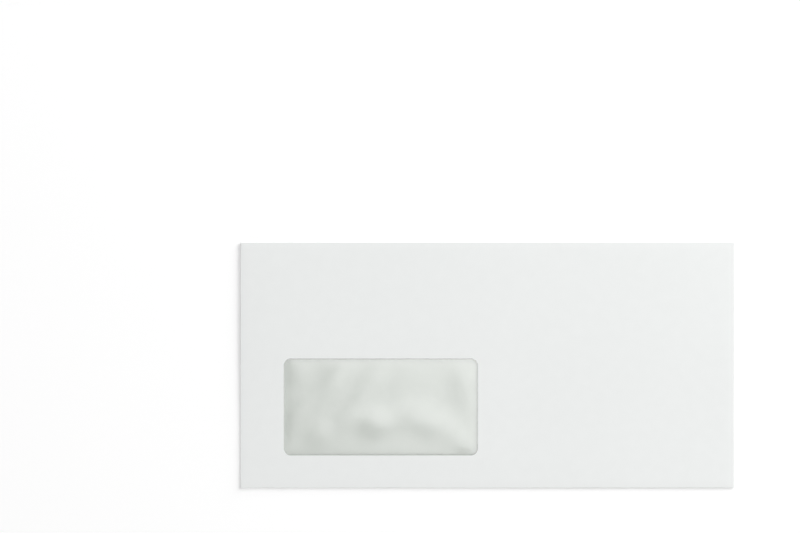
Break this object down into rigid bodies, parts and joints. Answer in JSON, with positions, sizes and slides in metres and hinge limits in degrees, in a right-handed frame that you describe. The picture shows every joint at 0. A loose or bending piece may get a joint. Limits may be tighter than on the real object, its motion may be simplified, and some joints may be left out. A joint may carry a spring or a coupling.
{
  "type": "window envelope",
  "caption": "Flat white letter envelope with a film window at lower left, glued side seams and a straight seal flap with a release strip on its back.",
  "frame": {"origin": "on the table, under the middle of the closed envelope's outline", "axes": "+X to the right along the long edge, +Y up the face towards the top fold, +Z out of the window face; it lies window up on its closed seal flap"},
  "size_m": [0.229, 0.114, 0.0011],
  "materials": {
    "white_paper": "smooth uncoated white wove paper, 80 g per square metre, with a grey-green security tint printed on its inside",
    "window_film": "thin clear film, slightly hazy and wavy",
    "glue": "dried translucent dispersion glue",
    "adhesive": "clear pressure-sensitive adhesive",
    "release_paper": "translucent silicone-coated release paper"
  },
  "bodies": {
    "root": {"envelope_blank": "white_paper", "window_film": "window_film", "window_glue": "glue", "left_seam_glue": "glue", "right_seam_glue": "glue", "seal_adhesive": "adhesive", "release_strip": "release_paper"}
  },
  "joints": []
}
